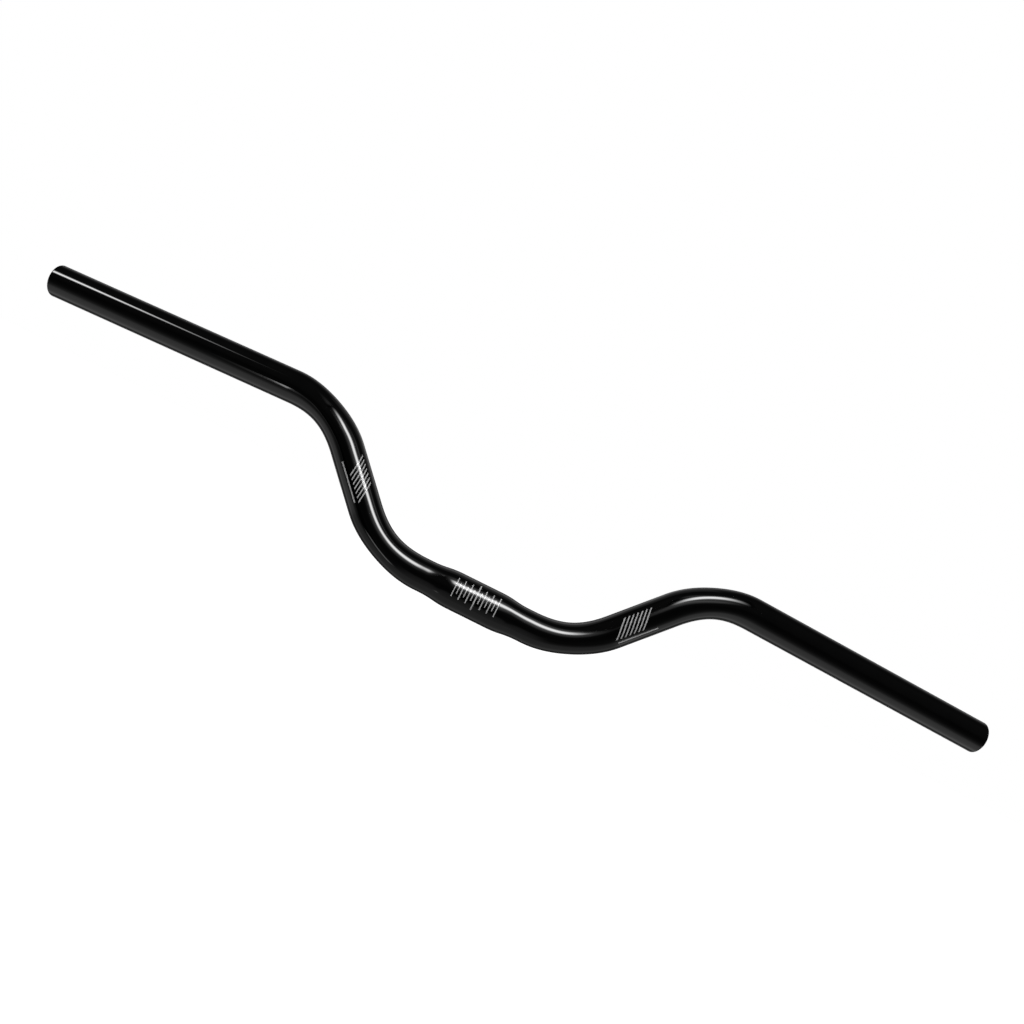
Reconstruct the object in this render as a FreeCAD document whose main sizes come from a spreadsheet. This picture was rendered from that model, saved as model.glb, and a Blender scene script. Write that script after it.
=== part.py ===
import FreeCAD, Part
import math
import os
import Sketcher

# Riser handlebar: one length of round tube, bent in four places.
# Frame: origin at the centre of the clamp, +X along the clamp axis,
# +Z the way the bar rises, +Y the way the grips sweep back to the rider.
# The two halves mirror each other across the plane X = 0.

V = FreeCAD.Vector
doc = FreeCAD.newDocument("riser_handlebar")

# ---------------------------------------------------------------- dimensions
SIZES = [
    ("grip_diameter", 22.2),       # outside of the tube along rises and grips
    ("clamp_diameter", 25.4),      # outside of the formed middle
    ("wall", 2.2),                 # tube wall
    ("clamp_half", 14.0),          # half length of the full clamp diameter
    ("taper_end", 35.0),           # where the taper has come down to the tube
    ("middle_half", 39.0),         # straight middle, centre to first bend
    ("rise_bend_radius", 70.0),    # centreline radius of the lower bend
    ("rise_bend_angle", 47.0),
    ("rise_straight", 40.0),       # straight between the two bends
    ("grip_bend_radius", 65.0),    # centreline radius of the upper bend
    ("grip_bend_angle", 49.5),
    ("grip_bend_turn", 10.5),      # turn of the upper bend's plane about the rise
    ("grip_straight", 182.8),      # straight grip, upper bend to the cut end
    ("rise_flat", 0.07),           # share by which the lower bend is flattened
    ("grip_flat", 0.08),           # share by which the upper bend is flattened
    ("spread", 0.6),               # sideways growth for each share of flattening
    ("end_round", 1.0),            # rounding of the cut end's outer edge
    ("end_bevel", 0.4),            # bevel of the cut end's inner edge
]
sheet = doc.addObject("Spreadsheet::Sheet", "sizes")
for row, (name, value) in enumerate(SIZES, start=1):
    sheet.set("A%d" % row, name)
    sheet.set("B%d" % row, str(value))
    sheet.setAlias("B%d" % row, name)
doc.recompute()
S = {name: float(sheet.get(name)) for name, _ in SIZES}

body = doc.addObject("PartDesign::Body", "handlebar_tube")
body.Label = "handlebar_tube"
planes = {o.Role: o for o in body.Origin.OriginFeatures}


def sketch(name, support, mode="FlatFace"):
    sk = body.newObject("Sketcher::SketchObject", name)
    sk.AttachmentSupport = [support]
    sk.MapMode = mode
    return sk


def bind(sk, kind, args, value, name, expression):
    """One dimension of a sketch, bound to the sheet."""
    i = sk.addConstraint(Sketcher.Constraint(kind, *args, value))
    sk.renameConstraint(i, name)
    sk.setExpression("Constraints." + name, expression)
    return i


def rule(sk, *args):
    return sk.addConstraint(Sketcher.Constraint(*args))


# ------------------------------------------------------------ formed middle
# Half of the middle as a turned ring: the full clamp diameter, an S-shaped
# taper made of two tangent arcs, and the plain tube. The inside follows it.
mid = sketch("middle_profile", (planes["XZ_Plane"], ""))
rc, rg, w = S["clamp_diameter"] / 2, S["grip_diameter"] / 2, S["wall"]
x1, x2, x3 = S["clamp_half"], S["taper_end"], S["middle_half"]
xm = (x1 + x2) / 2


def s_radius(drop):
    """Radius of each of the two equal arcs that step down by drop."""
    run = (x2 - x1) / 2
    return (run * run + (drop / 2) ** 2) / drop


def half_profile(ra, rb):
    """Line, two arcs and line, from the centre out; returns their numbers."""
    rad = s_radius(ra - rb)
    half = math.asin((x2 - x1) / 2 / rad)
    g0 = mid.addGeometry(Part.LineSegment(V(0, ra, 0), V(x1, ra, 0)), False)
    up = Part.Circle(V(x1, ra - rad, 0), V(0, 0, 1), rad)
    g1 = mid.addGeometry(Part.ArcOfCircle(up, math.pi / 2 - half, math.pi / 2), False)
    low = Part.Circle(V(x2, rb + rad, 0), V(0, 0, 1), rad)
    g2 = mid.addGeometry(
        Part.ArcOfCircle(low, -math.pi / 2 - half, -math.pi / 2), False
    )
    g3 = mid.addGeometry(Part.LineSegment(V(x2, rb, 0), V(x3, rb, 0)), False)
    # the first arc runs from the step's middle (start) back to the clamp (end)
    rule(mid, "Tangent", g0, 2, g1, 2)
    rule(mid, "Tangent", g1, 1, g2, 1)
    rule(mid, "Tangent", g2, 2, g3, 1)
    rule(mid, "Horizontal", g0)
    rule(mid, "Horizontal", g3)
    rule(mid, "Equal", g1, g2)
    return g0, g1, g2, g3


o0, o1, o2, o3 = half_profile(rc, rg)
i0, i1, i2, i3 = half_profile(rc - w, rg - w)
ca = mid.addGeometry(Part.LineSegment(V(0, rc - w, 0), V(0, rc, 0)), False)
cb = mid.addGeometry(Part.LineSegment(V(x3, rg, 0), V(x3, rg - w, 0)), False)
rule(mid, "Coincident", ca, 1, i0, 1)
rule(mid, "Coincident", ca, 2, o0, 1)
rule(mid, "Coincident", cb, 1, o3, 2)
rule(mid, "Coincident", cb, 2, i3, 2)
rule(mid, "PointOnObject", ca, 1, -2)
rule(mid, "Vertical", ca)
rule(mid, "Vertical", cb)
bind(mid, "DistanceY", (-1, 1, o0, 1), rc, "clamp_r", "sizes.clamp_diameter / 2")
bind(mid, "DistanceY", (-1, 1, o3, 2), rg, "tube_r", "sizes.grip_diameter / 2")
bind(mid, "DistanceY", (ca, 1, ca, 2), w, "wall_a", "sizes.wall")
bind(mid, "DistanceY", (cb, 2, cb, 1), w, "wall_b", "sizes.wall")
bind(mid, "DistanceX", (-1, 1, o0, 2), x1, "clamp_x", "sizes.clamp_half")
bind(mid, "DistanceX", (-1, 1, o3, 1), x2, "taper_x", "sizes.taper_end")
bind(mid, "DistanceX", (-1, 1, o3, 2), x3, "middle_x", "sizes.middle_half")
bind(mid, "DistanceX", (-1, 1, i0, 2), x1, "bore_clamp_x", "sizes.clamp_half")
bind(mid, "DistanceX", (-1, 1, i3, 1), x2, "bore_taper_x", "sizes.taper_end")
doc.recompute()

turn = body.newObject("PartDesign::Revolution", "formed_middle")
turn.Profile = mid
turn.ReferenceAxis = (mid, ["H_Axis"])
turn.Angle = 360
doc.recompute()

# ------------------------------------------------------------- centrelines
# Lower bend: in the plane of the clamp axis and the rise.
low = sketch("rise_path", (planes["XZ_Plane"], ""))
R1, A1 = S["rise_bend_radius"], math.radians(S["rise_bend_angle"])
low.addGeometry(
    Part.ArcOfCircle(
        Part.Circle(V(x3, R1, 0), V(0, 0, 1), R1), -math.pi / 2, -math.pi / 2 + A1
    ),
    False,
)
rule(low, "PointOnObject", 0, 1, -1)
bind(low, "DistanceX", (-1, 1, 0, 1), x3, "start_x", "sizes.middle_half")
bind(low, "DistanceX", (-1, 1, 0, 3), x3, "centre_x", "sizes.middle_half")
bind(low, "Radius", (0,), R1, "bend_r", "sizes.rise_bend_radius")
bind(low, "Angle", (0,), A1, "bend_a", "sizes.rise_bend_angle * 1 deg")
doc.recompute()

# Upper bend: its plane holds the rise and is turned about it, which is what
# sweeps the grip back.
high = sketch("grip_path", (low, "Edge1"), "FrenetTN")
high.MapPathParameter = 1.0
high.AttachmentOffset = FreeCAD.Placement(
    V(S["rise_straight"], 0, 0), FreeCAD.Rotation(V(1, 0, 0), S["grip_bend_turn"])
)
high.setExpression("AttachmentOffset.Base.x", "sizes.rise_straight * 1 mm")
high.setExpression("AttachmentOffset.Rotation.Angle", "sizes.grip_bend_turn * 1 deg")
R2, A2 = S["grip_bend_radius"], math.radians(S["grip_bend_angle"])
high.addGeometry(
    Part.ArcOfCircle(
        Part.Circle(V(0, -R2, 0), V(0, 0, 1), R2), math.pi / 2 - A2, math.pi / 2
    ),
    False,
)
rule(high, "Coincident", 0, 2, -1, 1)
rule(high, "PointOnObject", 0, 3, -2)
bind(high, "Radius", (0,), R2, "bend_r", "sizes.grip_bend_radius")
bind(high, "Angle", (0,), A2, "bend_a", "sizes.grip_bend_angle * 1 deg")
doc.recompute()


# ---------------------------------------------------------------- sections
# Each section is a ring square to the centreline. Its first axis is square to
# the bend's plane and its second lies in that plane, the way it is flattened.
def section(name, path, at, share, flat):
    sk = sketch(name, (path, "Edge1"), "FrenetNB")
    sk.MapPathParameter = at
    sk.AttachmentOffset = FreeCAD.Placement(V(0, 0, 0), FreeCAD.Rotation(V(0, 0, 1), 90))
    for tag, r, text in (
        ("outer", rg, "sizes.grip_diameter"),
        ("inner", rg - w, "(sizes.grip_diameter - 2 * sizes.wall)"),
    ):
        if share == 0:
            g = sk.addGeometry(Part.Circle(V(0, 0, 0), V(0, 0, 1), r), False)
            rule(sk, "Coincident", g, 3, -1, 1)
            bind(sk, "Diameter", (g,), 2 * r, tag, text)
            continue
        grow = S["grip_diameter"] / 2 * share * S["spread"] * S[flat]
        sink = S["grip_diameter"] / 2 * share * S[flat]
        a, b = r + grow, r - sink
        g = sk.addGeometry(Part.Ellipse(V(a, 0, 0), V(0, b, 0), V(0, 0, 0)), False)
        sk.exposeInternalGeometry(g)
        rule(sk, "Coincident", g, 3, -1, 1)
        rule(sk, "Horizontal", g + 1)
        bind(
            sk, "Distance", (g + 1, 1, g + 1, 2), 2 * a, tag + "_wide",
            "%s + sizes.grip_diameter * %s * sizes.spread * sizes.%s" % (text, share, flat),
        )
        bind(
            sk, "Distance", (g + 2, 1, g + 2, 2), 2 * b, tag + "_flat",
            "%s - sizes.grip_diameter * %s * sizes.%s" % (text, share, flat),
        )
    return sk


def bend(name, path, flat):
    """A bend as a pipe through five rings, flattened most at its middle."""
    stations = [(0.0, 0), (0.25, 0.5), (0.5, 1), (0.75, 0.5), (1.0, 0)]
    if path is high:
        stations = [(1.0 - at, share) for at, share in stations]
    rings = [
        section("%s_ring_%d" % (name, i), path, at, share, flat)
        for i, (at, share) in enumerate(stations)
    ]
    doc.recompute()
    pipe = body.newObject("PartDesign::AdditivePipe", name)
    pipe.Profile = rings[0]
    pipe.Spine = (path, ["Edge1"])
    pipe.Mode = "Standard"
    pipe.Transformation = "Multisection"
    pipe.Sections = [(r, [""]) for r in rings[1:]]
    doc.recompute()
    return pipe, rings[0], rings[-1]


def run(name, ring, length, expression, direction):
    """A straight length of tube, from a ring."""
    pad = body.newObject("PartDesign::Pad", name)
    pad.Profile = ring
    pad.Length = length
    pad.setExpression("Length", expression)
    normal = ring.Placement.Rotation.multVec(V(0, 0, 1))
    pad.Reversed = normal.dot(direction) < 0
    doc.recompute()
    return pad


d1 = V(math.cos(A1), 0, math.sin(A1))
lower, _, rise_ring = bend("rise_bend", low, "rise_flat")
rise = run("rise", rise_ring, S["rise_straight"], "sizes.rise_straight * 1 mm", d1)
upper, _, grip_ring = bend("grip_bend", high, "grip_flat")
turned = high.Placement.Rotation
d2 = turned.multVec(V(math.cos(A2), -math.sin(A2), 0))
grip = run("grip", grip_ring, S["grip_straight"], "sizes.grip_straight * 1 mm", d2)
tip = grip_ring.Placement.Base + d2 * S["grip_straight"]


# ------------------------------------------------------------------ cut end
def end_edges(shape, radius):
    """Names of the circles of this radius at the cut end."""
    found = []
    for i, e in enumerate(shape.Edges, start=1):
        c = e.Curve
        if isinstance(c, Part.Circle) and abs(c.Radius - radius) < 1e-3:
            if (c.Center - tip).Length < 1e-3:
                found.append("Edge%d" % i)
    return found


edge = body.newObject("PartDesign::Fillet", "end_rounding")
edge.Base = (grip, end_edges(grip.Shape, rg))
edge.Radius = S["end_round"]
edge.setExpression("Radius", "sizes.end_round * 1 mm")
doc.recompute()
bevel = body.newObject("PartDesign::Chamfer", "bore_bevel")
bevel.Base = (edge, end_edges(edge.Shape, rg - w))
bevel.Size = S["end_bevel"]
bevel.setExpression("Size", "sizes.end_bevel * 1 mm")
doc.recompute()

# --------------------------------------------------------------- other half
other = body.newObject("PartDesign::Mirrored", "left_half")
other.TransformMode = "Whole shape"
other.MirrorPlane = (planes["YZ_Plane"], [""])
body.Tip = other
doc.recompute()

# ------------------------------------------------------------------- checks
for o in doc.Objects:
    if any(word in ("Invalid", "Error") for word in o.State):
        raise RuntimeError("%s is not up to date: %s" % (o.Name, o.State))
for sk in doc.findObjects("Sketcher::SketchObject"):
    if sk.solve() != 0:
        raise RuntimeError("%s does not solve" % sk.Name)
shape = body.Shape
if shape.isNull() or not shape.isValid() or len(shape.Solids) != 1:
    raise RuntimeError("the bar is not one valid solid")

# The volume of the straight and bent lengths, section times length.
ring = math.pi * w * (2 * rg - w)
length = x3 + R1 * A1 + S["rise_straight"] + R2 * A2 + S["grip_straight"]
print("volume mm3", round(shape.Volume, 1), "plain tube mm3", round(2 * ring * length, 1))
print("box", shape.BoundBox)
print("tip", tip, "grip direction", d2, "faces", len(shape.Faces))

os.makedirs("parts", exist_ok=True)
shape.exportStep("parts/%s.step" % body.Label)
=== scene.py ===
"""Riser handlebar: one bent metal tube in gloss black paint, shown in a white studio.

Lengths here are metres unless a name ends in _mm.  The frame is the bar's own:
origin at the middle of the clamp, +X along the clamp, +Z the way the bar rises,
+Y the way the grips sweep back.
"""
import math

import bpy
import numpy as np
from mathutils import Matrix, Vector


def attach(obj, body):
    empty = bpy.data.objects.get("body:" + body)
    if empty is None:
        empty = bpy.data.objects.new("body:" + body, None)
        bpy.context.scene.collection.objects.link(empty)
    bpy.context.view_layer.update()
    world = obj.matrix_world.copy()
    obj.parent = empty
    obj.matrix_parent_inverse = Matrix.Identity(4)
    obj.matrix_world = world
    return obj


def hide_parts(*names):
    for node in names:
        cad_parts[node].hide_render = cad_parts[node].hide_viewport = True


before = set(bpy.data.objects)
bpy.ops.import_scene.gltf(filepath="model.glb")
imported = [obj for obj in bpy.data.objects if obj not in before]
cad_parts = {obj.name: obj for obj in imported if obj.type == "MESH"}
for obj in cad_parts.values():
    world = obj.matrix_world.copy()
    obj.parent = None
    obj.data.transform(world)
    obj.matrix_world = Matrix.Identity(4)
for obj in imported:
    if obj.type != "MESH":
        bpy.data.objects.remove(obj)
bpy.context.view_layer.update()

# ---------------------------------------------------------------- the tube's sizes
MM = 0.001
GRIP_R = 11.1          # 22.2 mm grip tube
CLAMP_R = 12.7         # 25.4 mm clamp
WALL = 2.2
CLAMP_HALF = 14.0      # half the plain clamp length
TAPER_END = 35.0       # where the taper reaches the grip diameter
MIDDLE_HALF = 39.0     # half the straight middle
RISE_R, RISE_A = 70.0, math.radians(47.0)
RISE_RUN = 40.0
GRIP_BEND_R, GRIP_BEND_A = 65.0, math.radians(49.5)
GRIP_TURN = math.radians(10.5)
GRIP_RUN = 182.8
RISE_FLAT, GRIP_FLAT, SPREAD = 0.07, 0.08, 0.6
END_ROUND, END_BEVEL = 1.0, 0.4
AROUND = 112           # points round the outside
AROUND_IN = 56         # points round the bore

S1 = MIDDLE_HALF
S2 = S1 + RISE_R * RISE_A
S3 = S2 + RISE_RUN
S4 = S3 + GRIP_BEND_R * GRIP_BEND_A
S5 = S4 + GRIP_RUN     # arc length of the cut end


def unit(v):
    return v / np.linalg.norm(v)


X, Y, Z = np.eye(3)
D1 = np.array([math.cos(RISE_A), 0.0, math.sin(RISE_A)])
E2 = np.array([-math.sin(RISE_A), 0.0, math.cos(RISE_A)])
IN2 = unit(-math.cos(GRIP_TURN) * E2 + math.sin(GRIP_TURN) * Y)   # towards the centre of the grip bend
P1 = S1 * X
C1 = P1 + RISE_R * Z
P2 = C1 + RISE_R * (math.sin(RISE_A) * X - math.cos(RISE_A) * Z)
P3 = P2 + RISE_RUN * D1
C2 = P3 + GRIP_BEND_R * IN2
D2 = math.cos(GRIP_BEND_A) * D1 + math.sin(GRIP_BEND_A) * IN2
P4 = C2 + GRIP_BEND_R * (math.sin(GRIP_BEND_A) * D1 - math.cos(GRIP_BEND_A) * IN2)
P5 = P4 + GRIP_RUN * D2
OUT2 = unit(np.cross(D1, IN2))


def turned(v, axis, angle):
    """v turned about a unit axis."""
    return (v * math.cos(angle) + np.cross(axis, v) * math.sin(angle)
            + axis * np.dot(axis, v) * (1 - math.cos(angle)))


def taper_radius(s):
    """Outer radius of the middle: clamp size, then two tangent arcs down to grip size."""
    s = abs(s)
    if s <= CLAMP_HALF:
        return CLAMP_R
    if s >= TAPER_END:
        return GRIP_R
    half = 0.5 * (TAPER_END - CLAMP_HALF)
    drop = 0.5 * (CLAMP_R - GRIP_R)
    arc = (half * half + drop * drop) / (2 * drop)
    a = s - CLAMP_HALF
    if a <= half:
        return CLAMP_R - (arc - math.sqrt(arc * arc - a * a))
    b = TAPER_END - s
    return GRIP_R + (arc - math.sqrt(arc * arc - b * b))


def station(s):
    """Place, front vector, up vector and the section's squeeze at arc length s of the right half.

    Returns P, front, up, radius, squeeze, in_plane, across.  front and up are the ring's own
    axes, carried along without twist."""
    front, radius, squeeze = -Y, taper_radius(s), 0.0
    inp, across = Z, Y
    if s <= S1:
        p, t = s * X, X
        up = Z
    elif s <= S2:
        a = (s - S1) / RISE_R
        t = math.cos(a) * X + math.sin(a) * Z
        up = -math.sin(a) * X + math.cos(a) * Z
        p = C1 - RISE_R * up
        squeeze = RISE_FLAT * math.sin(math.pi * (s - S1) / (S2 - S1)) ** 2
        inp, across = up, Y
    elif s <= S3:
        p, up = P2 + (s - S2) * D1, E2
        inp, across = IN2, OUT2
    else:
        a = min((s - S3) / GRIP_BEND_R, GRIP_BEND_A)
        inp = turned(IN2, OUT2, a)
        up = turned(E2, OUT2, a)
        front = turned(-Y, OUT2, a)
        across = OUT2
        if s <= S4:
            p = C2 - GRIP_BEND_R * inp
            squeeze = GRIP_FLAT * math.sin(math.pi * (s - S3) / (S4 - S3)) ** 2
        else:
            p = P4 + (s - S4) * D2
    return p, front, up, radius, squeeze, inp, across


def ring(s, radius_of, count):
    """Points of the section at signed arc length s; radius_of maps the outer radius to this ring's."""
    p, front, up, r, q, inp, across = station(abs(s))
    r = radius_of(r)
    r_in, r_out = r - GRIP_R * q, r + GRIP_R * SPREAD * q
    side = 1.0 if s >= 0 else -1.0
    pts = []
    for k in range(count):
        a = 2 * math.pi * k / count + math.pi      # the ring starts at the back
        d = math.cos(a) * front + math.sin(a) * up
        v = p + r_in * np.dot(d, inp) * inp + r_out * np.dot(d, across) * across
        pts.append((v[0] * side * MM, v[1] * MM, v[2] * MM))
    return pts


def spaced(a, b, step):
    n = max(2, int(math.ceil((b - a) / step)))
    return list(np.linspace(a, b, n + 1)[:-1])


half = (spaced(0, CLAMP_HALF, 2.4) + spaced(CLAMP_HALF, TAPER_END, 0.9) + spaced(TAPER_END, S1, 1.4)
        + spaced(S1, S2, 1.5) + spaced(S2, S3, 2.4) + spaced(S3, S4, 1.5)
        + spaced(S4, S4 + 12, 2.4) + spaced(S4 + 12, S5 - 12, 5.0) + spaced(S5 - 12, S5 - END_ROUND - 0.6, 2.2)
        + [S5 - END_ROUND - 0.6, S5 - END_ROUND - 0.2])
inner = spaced(0, S1, 3.0) + spaced(S1, S4, 3.5) + spaced(S4, S5 - 10, 9.0) + [S5 - 8, S5 - 4, S5 - 1.5]


def end_profile():
    """(arc length, outer-side radius) round the cut end, from the outside to the mouth of the bore."""
    prof = []
    for k in range(0, 9):
        a = math.pi / 2 * k / 8
        prof.append((S5 - END_ROUND + END_ROUND * math.sin(a), GRIP_R - END_ROUND + END_ROUND * math.cos(a)))
    lip = GRIP_R - WALL + END_BEVEL
    prof.append((S5, GRIP_R - END_ROUND - 0.15))
    prof.append((S5, lip + 0.12))
    prof.append((S5, lip))
    return prof


verts, faces, uvs, mats = [], [], [], []


def add_rings(rows, count, material, flip):
    """rows: list of (signed arc length used as U, ring points).  Joins neighbours with quads."""
    base = []
    for u, pts in rows:
        base.append(len(verts))
        verts.extend(pts)
    for i in range(len(rows) - 1):
        for k in range(count):
            k2 = (k + 1) % count
            a, b = base[i] + k, base[i] + k2
            c, d = base[i + 1] + k2, base[i + 1] + k
            ua, ub = rows[i][0] * MM, rows[i + 1][0] * MM
            va = GRIP_R * MM * (2 * math.pi * k / count - math.pi)
            vb = GRIP_R * MM * (2 * math.pi * (k + 1) / count - math.pi)
            quad = [(a, (ua, va)), (b, (ua, vb)), (c, (ub, vb)), (d, (ub, va))]
            if flip:
                quad.reverse()
            faces.append([q[0] for q in quad])
            uvs.extend(q[1] for q in quad)
            mats.append(material)
    return base


def outside(s):
    return ring(s, lambda r: r, AROUND)


def plain_ring(s_signed, s_axis, radius, count):
    return ring(math.copysign(s_axis, s_signed), lambda r: radius, count)


# outside with both rounded ends and the cut faces, as one run of rings from the left end to the right
prof = end_profile()
rows = []
for s, r in reversed(prof):
    rows.append((-s - (GRIP_R - r), plain_ring(-1, s, r, AROUND)))
for s in reversed(half[1:]):
    rows.append((-s, outside(-s)))
for s in half:
    rows.append((s, outside(s)))
for s, r in prof:
    rows.append((s + (GRIP_R - r), plain_ring(1, s, r, AROUND)))
base_out = add_rings(rows, AROUND, 0, True)

# the bore, with its bevelled mouth
mouth = [(S5 - END_BEVEL, GRIP_R - WALL)]
rows_in = []
for s, r in mouth:
    rows_in.append((-s, plain_ring(-1, s, r, AROUND_IN)))
for s in reversed(inner[1:]):
    rows_in.append((-s, ring(-s, lambda r: r - WALL, AROUND_IN)))
for s in inner:
    rows_in.append((s, ring(s, lambda r: r - WALL, AROUND_IN)))
for s, r in mouth:
    rows_in.append((s, plain_ring(1, s, r, AROUND_IN)))
base_in = add_rings(rows_in, AROUND_IN, 1, False)

# bevel between the cut face (AROUND points) and the bore (AROUND_IN points)
ratio = AROUND // AROUND_IN
for o, i, flip, side in ((base_out[0], base_in[0], False, -1), (base_out[-1], base_in[-1], True, 1)):
    for k in range(AROUND_IN):
        k2 = (k + 1) % AROUND_IN
        a0, a1, a2 = o + ratio * k, o + ratio * k + 1, o + (ratio * (k + 1)) % AROUND
        tri = [(a0, a1, i + k), (a1, a2, i + k2), (a1, i + k2, i + k)]
        for t in tri:
            t = list(t)
            if flip:
                t.reverse()
            faces.append(t)
            for _ in t:
                uvs.append((side * (S5 + 2.0) * MM, 0.0))
            mats.append(0)

mesh = bpy.data.meshes.new("riser_handlebar")
mesh.from_pydata(verts, [], faces)
layer = mesh.uv_layers.new(name="along")
layer.data.foreach_set("uv", np.array(uvs, dtype=np.float32).ravel())
mesh.polygons.foreach_set("material_index", np.array(mats, dtype=np.int32))
mesh.polygons.foreach_set("use_smooth", np.ones(len(faces), dtype=bool))
mesh.update()
mesh.validate()
mesh.set_sharp_from_angle(angle=math.radians(32))
bar = bpy.data.objects.new("riser_handlebar", mesh)
bpy.context.scene.collection.objects.link(bar)


# ---------------------------------------------------------------- node helpers
class Nodes:
    """A small helper that adds nodes to one tree and links them."""

    def __init__(self, tree):
        self.tree = tree
        tree.nodes.clear()

    def add(self, kind, **props):
        n = self.tree.nodes.new(kind)
        for k, v in props.items():
            setattr(n, k, v)
        return n

    def link(self, a, b):
        self.tree.links.new(a, b)

    def put(self, value, socket):
        if isinstance(value, bpy.types.NodeSocket):
            self.link(value, socket)
        else:
            socket.default_value = value

    def math(self, op, a, b=None, c=None, clamp=False):
        n = self.add("ShaderNodeMath", operation=op, use_clamp=clamp)
        for i, v in enumerate((a, b, c)):
            if v is not None:
                self.put(v, n.inputs[i])
        return n.outputs[0]

    def smooth(self, value, lo, hi, to_lo=0.0, to_hi=1.0, kind="SMOOTHSTEP"):
        n = self.add("ShaderNodeMapRange", interpolation_type=kind)
        n.clamp = True
        self.put(value, n.inputs["Value"])
        for name, v in (("From Min", lo), ("From Max", hi), ("To Min", to_lo), ("To Max", to_hi)):
            self.put(v, n.inputs[name])
        return n.outputs["Result"]

    def noise(self, vector, scale, detail=2.0, rough=0.5, lac=2.0):
        n = self.add("ShaderNodeTexNoise")
        self.put(vector, n.inputs["Vector"])
        n.inputs["Scale"].default_value = scale
        n.inputs["Detail"].default_value = detail
        n.inputs["Roughness"].default_value = rough
        n.inputs["Lacunarity"].default_value = lac
        return n.outputs["Fac"]

    def mix(self, fac, a, b):
        n = self.add("ShaderNodeMix", data_type="RGBA")
        self.put(fac, n.inputs["Factor"])
        self.put(a, n.inputs[6])
        self.put(b, n.inputs[7])
        return n.outputs[2]


# ---------------------------------------------------------------- gloss black paint with its printed marks
paint = bpy.data.materials.new("gloss_black_paint")
paint.use_nodes = True
N = Nodes(paint.node_tree)
out = N.add("ShaderNodeOutputMaterial")
bsdf = N.add("ShaderNodeBsdfPrincipled")
N.link(bsdf.outputs[0], out.inputs["Surface"])
place = N.add("ShaderNodeTexCoord").outputs["Object"]
lay = N.add("ShaderNodeUVMap", uv_map="along").outputs["UV"]
sep = N.add("ShaderNodeSeparateXYZ")
N.link(lay, sep.inputs[0])
along = N.math("MULTIPLY", sep.outputs[0], 1000.0)     # mm from the middle
girth = N.math("MULTIPLY", sep.outputs[1], 1000.0)     # mm round from the front, + is up


def line(value, half_width, soft=0.16):
    """1 where |value| is under half_width (mm), with a soft printed edge."""
    return N.smooth(N.math("ABSOLUTE", value), half_width - soft, half_width + soft, 1.0, 0.0)


def inside(value, lo, hi, soft=0.16):
    mid, half_span = 0.5 * (lo + hi), 0.5 * (hi - lo)
    return line(N.math("SUBTRACT", value, mid), half_span, soft)


def both(*values):
    v = values[0]
    for w in values[1:]:
        v = N.math("MULTIPLY", v, w)
    return v


def either(*values):
    v = values[0]
    for w in values[1:]:
        v = N.math("MAXIMUM", v, w)
    return v


# centring scale at the clamp: a tick every 2.5 mm, longer every 5 mm, the longest at the middle
round_mid = N.math("ABSOLUTE", N.math("SUBTRACT", girth, 3.4))     # mm from the middle of the scale
tick = N.math("WRAP", along, 1.25, -1.25)
five = N.math("WRAP", along, 2.5, -2.5)
on_scale = inside(along, -15.4, 15.4)
fine = both(line(tick, 0.30), on_scale, line(round_mid, 3.4))
long_ = both(line(five, 0.34), on_scale, line(round_mid, 6.0))
middle = both(line(along, 0.42), line(round_mid, 8.2))
scale_marks = either(fine, long_, middle)

# slanted strokes over a plain line, on each rise; the left print sits a little further out and higher
side = N.math("SIGN", along)
away = N.math("SUBTRACT", N.math("ABSOLUTE", along), N.math("MULTIPLY_ADD", side, -2.6, 112.3))
up_by = N.math("ADD", girth, N.math("MULTIPLY_ADD", side, 1.4, -1.4))
lean = N.math("MULTIPLY_ADD", up_by, -0.85, N.math("ADD", away, 1.45))
strokes = both(line(N.math("WRAP", lean, 1.5, -1.5), 0.50), inside(lean, -10.5, 10.5), inside(up_by, -4.4, 7.8))
under = both(line(N.math("ADD", up_by, 7.0), 0.50), inside(away, -13.6, 13.6))
rise_marks = either(strokes, under)
ink = either(scale_marks, rise_marks)
# print is a little uneven
ink = N.math("MULTIPLY", ink, N.smooth(N.noise(place, 260.0, 2.0), 0.25, 0.65, 0.86, 1.0))

tone = N.noise(place, 60.0, 4.0, 0.6)
black = N.mix(N.smooth(tone, 0.3, 0.7), (0.0008, 0.0008, 0.00085, 1), (0.0014, 0.0014, 0.00145, 1))
N.link(N.mix(ink, black, (0.52, 0.52, 0.52, 1)), bsdf.inputs["Base Color"])
haze = N.noise(place, 38.0, 5.0, 0.62)
rough = N.smooth(haze, 0.3, 0.72, 0.04, 0.075)
N.link(rough, bsdf.inputs["Roughness"])
bsdf.inputs["IOR"].default_value = 1.5
bsdf.inputs["Metallic"].default_value = 0.0
peel = N.noise(place, 260.0, 2.0, 0.45)
bump = N.add("ShaderNodeBump")
bump.inputs["Strength"].default_value = 0.5
bump.inputs["Distance"].default_value = 0.000007
N.link(peel, bump.inputs["Height"])
N.link(bump.outputs[0], bsdf.inputs["Normal"])

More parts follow.
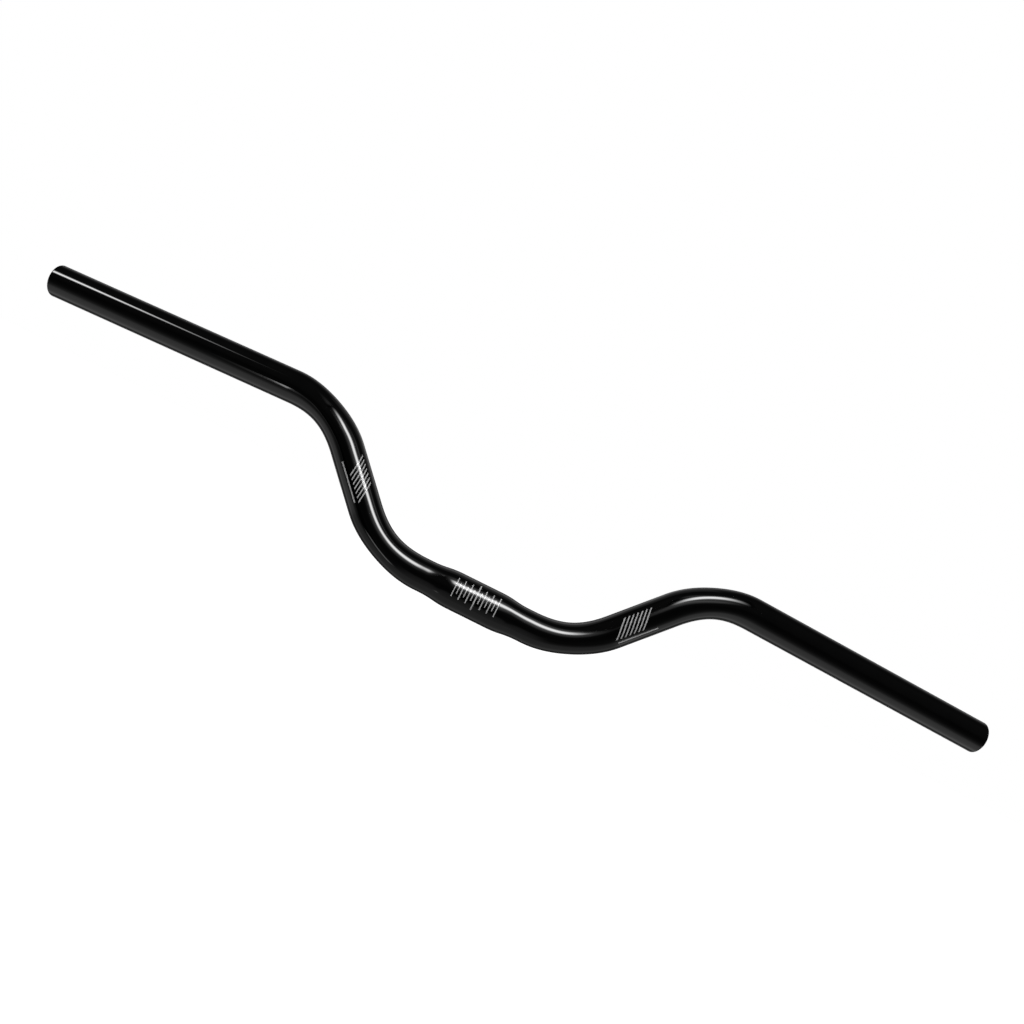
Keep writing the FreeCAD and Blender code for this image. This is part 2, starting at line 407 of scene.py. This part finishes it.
# ---------------------------------------------------------------- the bore: bare metal, paint mist near the mouth
bore = bpy.data.materials.new("bare_bore")
bore.use_nodes = True
N = Nodes(bore.node_tree)
out = N.add("ShaderNodeOutputMaterial")
bsdf = N.add("ShaderNodeBsdfPrincipled")
N.link(bsdf.outputs[0], out.inputs["Surface"])
place = N.add("ShaderNodeTexCoord").outputs["Object"]
lay = N.add("ShaderNodeUVMap", uv_map="along").outputs["UV"]
sep = N.add("ShaderNodeSeparateXYZ")
N.link(lay, sep.inputs[0])
deep = N.math("SUBTRACT", S5, N.math("MULTIPLY", N.math("ABSOLUTE", sep.outputs[0]), 1000.0))
drawn = N.add("ShaderNodeMapping")
N.link(lay, drawn.inputs["Vector"])
drawn.inputs["Scale"].default_value = (6.0, 900.0, 1.0)
streaks = N.noise(drawn.outputs[0], 1.0, 3.0, 0.6)
cloud = N.noise(place, 160.0, 4.0, 0.6)
mist = N.smooth(N.math("ADD", deep, N.math("MULTIPLY", cloud, -16.0)), -6.0, 14.0, 1.0, 0.0)
metal = N.mix(N.smooth(streaks, 0.3, 0.7), (0.17, 0.165, 0.16, 1), (0.30, 0.295, 0.285, 1))
N.link(N.mix(mist, metal, (0.006, 0.006, 0.006, 1)), bsdf.inputs["Base Color"])
N.link(N.math("MULTIPLY", N.math("SUBTRACT", 1.0, mist), 0.85), bsdf.inputs["Metallic"])
N.link(N.smooth(streaks, 0.25, 0.75, 0.42, 0.6), bsdf.inputs["Roughness"])
bump = N.add("ShaderNodeBump")
bump.inputs["Strength"].default_value = 0.4
bump.inputs["Distance"].default_value = 0.00004
N.link(streaks, bump.inputs["Height"])
N.link(bump.outputs[0], bsdf.inputs["Normal"])

mesh.materials.append(paint)
mesh.materials.append(bore)

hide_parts("handlebar_tube")
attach(bar, "root")

# ---------------------------------------------------------------- white studio
scene = bpy.context.scene
scene.view_settings.view_transform = "Standard"
scene.view_settings.look = "None"
scene.view_settings.exposure = 0.0
scene.view_settings.gamma = 1.0

world = bpy.data.worlds.new("white_studio")
scene.world = world
world.use_nodes = True
N = Nodes(world.node_tree)
wout = N.add("ShaderNodeOutputWorld")
direction = N.add("ShaderNodeTexCoord").outputs["Generated"]
sep = N.add("ShaderNodeSeparateXYZ")
N.link(direction, sep.inputs[0])
# the sweep of paper behind and under the bar: brightness by the angle in the upright plane,
# 0 straight behind, 90 up, 180 in front, -90 down
tilt = N.math("DEGREES", N.math("ARCTAN2", sep.outputs[2], sep.outputs[1]))
SWEEP = [(-180, 0.012), (-165, 0.022), (-150, 0.050), (-138, 0.120), (-126, 0.277), (-114, 0.55), (-102, 0.58),
         (-90, 0.56), (-78, 0.60), (-67, 0.70), (-58, 0.408), (-50, 0.17), (-42, 0.08), (-34, 0.13), (-24, 0.20),
         (-10, 0.12), (10, 0.12), (24, 0.26), (34, 0.33), (44, 0.18), (54, 0.085), (64, 0.042), (74, 0.022),
         (90, 0.03), (105, 0.04), (160, 0.035), (180, 0.012)]
ramp = N.add("ShaderNodeFloatCurve")
curve = ramp.mapping.curves[0]
pts = [((a + 180) / 360.0, b) for a, b in SWEEP]
curve.points[0].location = pts[0]
curve.points[1].location = pts[-1]
for p in pts[1:-1]:
    curve.points.new(*p)
for p in curve.points:
    p.handle_type = "AUTO_CLAMPED"
ramp.mapping.update()
N.link(N.smooth(tilt, -180.0, 180.0, kind="LINEAR"), ramp.inputs["Value"])
seen = N.add("ShaderNodeBackground")
seen.inputs["Strength"].default_value = 1.0
seen.inputs["Color"].default_value = (1, 1, 1, 1)
around = N.add("ShaderNodeBackground")
around.inputs["Color"].default_value = (1, 1, 1, 1)
N.link(ramp.outputs[0], around.inputs["Strength"])
pick = N.add("ShaderNodeMixShader")
N.link(N.add("ShaderNodeLightPath").outputs["Is Camera Ray"], pick.inputs[0])
N.link(around.outputs[0], pick.inputs[1])
N.link(seen.outputs[0], pick.inputs[2])
N.link(pick.outputs[0], wout.inputs["Surface"])


def card(name, centre, across, upward, half_w, half_h):
    """A flat stage card, across and upward being its two edges' directions, that is only seen in the gloss."""
    ex = Vector(across).normalized()
    ey = Vector(upward)
    ey = (ey - ex * ey.dot(ex)).normalized()
    nz = ex.cross(ey)
    me = bpy.data.meshes.new(name)
    me.from_pydata([(-half_w, -half_h, 0), (half_w, -half_h, 0), (half_w, half_h, 0), (-half_w, half_h, 0)],
                   [], [(0, 1, 2, 3)])
    ob = bpy.data.objects.new(name, me)
    scene.collection.objects.link(ob)
    m = Matrix((ex, ey, nz)).transposed().to_4x4()
    m.translation = Vector(centre)
    ob.matrix_world = m
    mat = bpy.data.materials.new(name)
    mat.use_nodes = True
    T = Nodes(mat.node_tree)
    o = T.add("ShaderNodeOutputMaterial")
    s = T.add("ShaderNodeSeparateXYZ")
    T.link(T.add("ShaderNodeTexCoord").outputs["Object"], s.inputs[0])
    me.materials.append(mat)
    ob.visible_camera = False
    ob.visible_diffuse = False
    ob.visible_shadow = False
    return T, s.outputs[0], s.outputs[1], o.inputs["Surface"]


def soft_box(name, centre, across, upward, half_w, half_h, soft_w, soft_low, soft_high, radiance, taper=0.0,
             glow=None):
    """A lit panel with soft borders.  Its width runs from 1 - taper at the low end to 1 + taper at the high end.
    glow is a faint light round it: half width, reach past the low end, reach past the high end, radiance."""
    reach = half_h + max(soft_low, soft_high, *(glow[1:3] if glow else ()))
    wide = max(half_w + soft_w, glow[0] if glow else 0.0)
    T, x, y, surface = card(name, centre, across, upward, wide * (1.0 + abs(taper) * reach / half_h), reach)
    e = T.add("ShaderNodeEmission")
    k = T.math("MAXIMUM", T.math("MULTIPLY_ADD", y, taper / half_h, 1.0), 0.05)
    off = T.math("DIVIDE", T.math("ABSOLUTE", x), k)
    fx = T.smooth(off, half_w - soft_w, half_w + soft_w, 1.0, 0.0)
    lo = T.smooth(y, -half_h - soft_low, -half_h + soft_low)
    hi = T.smooth(y, half_h - soft_high, half_h + soft_high, 1.0, 0.0)
    light = T.math("MULTIPLY", T.math("MULTIPLY", fx, T.math("MULTIPLY", lo, hi)), radiance)
    if glow:
        g = T.smooth(off, 0.0, glow[0], 1.0, 0.0)
        g = T.math("MULTIPLY", g, T.smooth(y, -half_h - glow[1], -half_h + glow[1]))
        g = T.math("MULTIPLY", g, T.smooth(y, half_h - glow[2], half_h + glow[2], 1.0, 0.0))
        light = T.math("MULTIPLY_ADD", g, glow[3], light)
    T.link(light, e.inputs["Strength"])
    over = T.add("ShaderNodeAddShader")
    T.link(e.outputs[0], over.inputs[0])
    T.link(T.add("ShaderNodeBsdfTransparent").outputs[0], over.inputs[1])
    T.link(over.outputs[0], surface)


soft_box("panel_above", (0.0678, -0.2468, 0.3113), (-0.2163, 0.7076, 0.6728), (0.7448, 0.5651, -0.3548),
         0.0530, 0.1809, 0.0400, 0.0570, 0.0424, 17.7, -0.4469, (0.25, 0.14, 0.05, 1.9))
soft_box("panel_left", (-1.330, -0.671, 0.822), (0.4046, -0.8294, 0.3852), (0.9119, 0.3979, -0.1010),
         0.0731, 0.4155, 0.2353, 0.1431, 0.1431, 27.0)
soft_box("panel_low", (-0.8064, -1.1013, -0.5283), (0.8598, -0.5106, 0.0), (-0.2278, -0.3837, 0.8949),
         0.031, 0.140, 0.031, 0.050, 0.050, 9.2, 0.0, (0.20, 0.05, 0.05, 0.60))
soft_box("panel_lower", (-0.4394, -0.6193, -0.6795), (-0.6166, 0.7356, -0.2795), (0.679, 0.318, -0.661),
         0.055, 0.180, 0.040, 0.040, 0.050, 3.4)


def lit_strip(name, centre, across, upward, sides, ends, fade, half_w, widen, low, high, lean, radiance):
    """A small black card close to one bend with a lit strip along it, which takes the long panel's place there.
    low and high are where the strip's ends fade; lean is how far its middle line is off to the side: a shift,
    a bow with the square of the length, and a slope before a point."""
    T, x, y, surface = card(name, centre, across, upward, max(abs(v) for v in sides), max(abs(v) for v in ends))
    shift, bow, slope, before = lean
    mid = T.math("MULTIPLY_ADD", T.math("MULTIPLY", y, y), bow, shift)
    mid = T.math("MULTIPLY_ADD", T.math("MAXIMUM", T.math("SUBTRACT", before, y), 0.0), slope, mid)
    off = T.math("DIVIDE", T.math("ABSOLUTE", T.math("SUBTRACT", x, mid)), T.math("MULTIPLY_ADD", y, widen, 1.0))
    core = T.math("MULTIPLY", T.smooth(off, 0.25 * half_w, 1.75 * half_w, 1.0, 0.0), radiance)
    aside = T.math("ABSOLUTE", T.math("SUBTRACT", T.math("ADD", x, 0.004), mid))      # the glow sits a little to one side
    light = T.math("MULTIPLY_ADD", T.smooth(aside, 0.0, 0.040, 1.0, 0.0), 1.2, core)
    light = T.math("MULTIPLY", light, T.math("MULTIPLY", T.smooth(y, *low), T.smooth(y, *high, 1.0, 0.0)))
    e = T.add("ShaderNodeEmission")
    T.link(light, e.inputs["Strength"])
    cover = T.math("MULTIPLY", T.smooth(x, sides[0], sides[0] + 0.008), T.smooth(x, sides[1] - 0.008, sides[1], 1.0, 0.0))
    cover = T.math("MULTIPLY", cover, T.smooth(y, ends[0], ends[0] + fade[0]))
    cover = T.math("MULTIPLY", cover, T.smooth(y, ends[1] - fade[1], ends[1], 1.0, 0.0))
    veil = T.add("ShaderNodeMixShader")
    T.link(cover, veil.inputs[0])
    T.link(T.add("ShaderNodeBsdfTransparent").outputs[0], veil.inputs[1])
    T.link(e.outputs[0], veil.inputs[2])
    T.link(veil.outputs[0], surface)


lit_strip("strip_left", (-0.10126, -0.04741, 0.09707), (0.443, 0.7443, 0.4997), (0.7912, -0.0624, -0.6084),
          (-0.022, 0.034), (-0.05375, 0.06675), (0.010, 0.0045), 0.0077, 2.82, (-0.04575, -0.00875), (0.20, 0.21),
          (0.0, 0.0, 0.42, -0.00675), 18.5)
lit_strip("strip_right", (0.1357, -0.0446, 0.1176), (-0.3172, 0.7717, 0.5513), (0.9482, 0.2456, 0.2016),
          (-0.026, 0.027), (-0.072, 0.058), (0.010, 0.010), 0.0084, -2.86, (-0.066, -0.019), (0.0, 0.050),
          (0.0079, -8.0, 0.0, 0.0), 18.0)

# a black flag keeps the low panel off the left rise
T, x, y, surface = card("flag_left", (-0.2943, -0.3544, -0.1446), (0.8598, -0.5106, 0.0), (-0.2278, -0.3837, 0.8949),
                        0.070, 0.100)
dark = T.add("ShaderNodeEmission")
dark.inputs["Strength"].default_value = 0.0
T.link(dark.outputs[0], surface)

# a grey card under the middle is the bar's painted shadow on the paper below: it takes some of the paper's white out
# of the underside's reflection, and is a little lit in front
T, x, y, surface = card("shade_below", (0.0, -0.02, -0.06), (1, 0, 0), (0, 1, 0), 0.22, 0.19)
dark = T.add("ShaderNodeEmission")
dark.inputs["Strength"].default_value = 0.0
clear = T.add("ShaderNodeBsdfTransparent")
veil = T.add("ShaderNodeMixShader")
off = T.math("ABSOLUTE", x)
cover = T.math("MULTIPLY", T.smooth(off, 0.170, 0.196, 1.0, 0.0), T.smooth(T.math("ABSOLUTE", y), 0.088, 0.128, 1.0, 0.0))
# painted shadow: up to 0.45 of the paper's white is taken out over the middle
T.link(T.math("MULTIPLY", cover, 0.45), veil.inputs[0])
T.link(clear.outputs[0], veil.inputs[1])
T.link(dark.outputs[0], veil.inputs[2])
lit = T.add("ShaderNodeEmission")
front = T.math("MULTIPLY", T.smooth(y, -0.19, -0.07), T.smooth(y, -0.05, 0.0, 1.0, 0.0))
T.link(T.math("MULTIPLY", T.math("MULTIPLY", front, T.smooth(off, 0.045, 0.075, 1.0, 0.0)), 0.145), lit.inputs["Strength"])
over = T.add("ShaderNodeAddShader")
T.link(veil.outputs[0], over.inputs[0])
T.link(lit.outputs[0], over.inputs[1])
T.link(over.outputs[0], surface)

# a narrow backdrop close behind the middle, white low down and fading upwards
T, x, y, surface = card("backdrop", (0.0, 0.10, 0.29), (1, 0, 0), (0, 0, 1), 0.14, 0.21)
FADE = [(0.080, 0.64), (0.10, 0.62), (0.12, 0.48), (0.14, 0.34), (0.163, 0.25), (0.185, 0.20), (0.26, 0.14),
        (0.37, 0.08), (0.50, 0.0)]
ramp = T.add("ShaderNodeFloatCurve")
curve = ramp.mapping.curves[0]
pts = [((z - 0.08) / 0.42, v) for z, v in FADE]
curve.points[0].location = pts[0]
curve.points[1].location = pts[-1]
for p in pts[1:-1]:
    curve.points.new(*p)
for p in curve.points:
    p.handle_type = "AUTO_CLAMPED"
ramp.mapping.update()
T.link(T.smooth(y, -0.21, 0.21, kind="LINEAR"), ramp.inputs["Value"])
glow = T.add("ShaderNodeEmission")
T.link(ramp.outputs[0], glow.inputs["Strength"])
clear = T.add("ShaderNodeBsdfTransparent")
veil = T.add("ShaderNodeMixShader")
T.link(T.math("MULTIPLY", T.smooth(T.math("ABSOLUTE", x), 0.106, 0.130, 1.0, 0.0), T.smooth(y, -0.208, -0.195)),
       veil.inputs[0])
T.link(clear.outputs[0], veil.inputs[1])
T.link(glow.outputs[0], veil.inputs[2])
T.link(veil.outputs[0], surface)

fill = bpy.data.lights.new("fill", "AREA")
fill.shape = "DISK"
fill.size = 1.6
fill.energy = 40.0
fill_ob = bpy.data.objects.new("fill", fill)
scene.collection.objects.link(fill_ob)
fill_ob.location = (0.2, -1.6, 1.5)
fill_ob.rotation_euler = (Vector((0, 0, 0)) - fill_ob.location).to_track_quat("-Z", "Y").to_euler()
fill_ob.visible_camera = False
fill_ob.visible_glossy = False

# floor: a pale sheet under the bar, bright enough to run into the background
fm = bpy.data.meshes.new("floor")
fm.from_pydata([(-6, -6, 0), (6, -6, 0), (6, 6, 0), (-6, 6, 0)], [], [(0, 1, 2, 3)])
floor = bpy.data.objects.new("floor", fm)
scene.collection.objects.link(floor)
floor.location = (0, 0, -0.28)
fmat = bpy.data.materials.new("pale_floor")
fmat.use_nodes = True
N = Nodes(fmat.node_tree)
out = N.add("ShaderNodeOutputMaterial")
bsdf = N.add("ShaderNodeBsdfPrincipled")
N.link(bsdf.outputs[0], out.inputs["Surface"])
place = N.add("ShaderNodeTexCoord").outputs["Object"]
N.link(N.mix(N.noise(place, 3.0, 3.0), (0.88, 0.88, 0.88, 1), (0.92, 0.92, 0.92, 1)), bsdf.inputs["Base Color"])
bsdf.inputs["Roughness"].default_value = 0.9
bsdf.inputs["Emission Color"].default_value = (1, 1, 1, 1)
bsdf.inputs["Emission Strength"].default_value = 1.0
fm.materials.append(fmat)
floor.visible_glossy = False
floor.visible_diffuse = False

# ---------------------------------------------------------------- camera
right = Vector((0.895486740, -0.00701091518, 0.445032972))
down = Vector((0.445046971, 0.000496369445, -0.895507089))
ahead = Vector((0.00605742348, 0.999975300, 0.00356467882))
cam = bpy.data.cameras.new("camera")
cam.sensor_width = 36.0
cam.lens = 35.15625
cam.clip_start = 0.01
cam_ob = bpy.data.objects.new("camera", cam)
scene.collection.objects.link(cam_ob)
m = Matrix((right, -down, -ahead)).transposed().to_4x4()
m.translation = (-0.00771266, -0.64946667, 0.06010399)
cam_ob.matrix_world = m
scene.camera = cam_ob
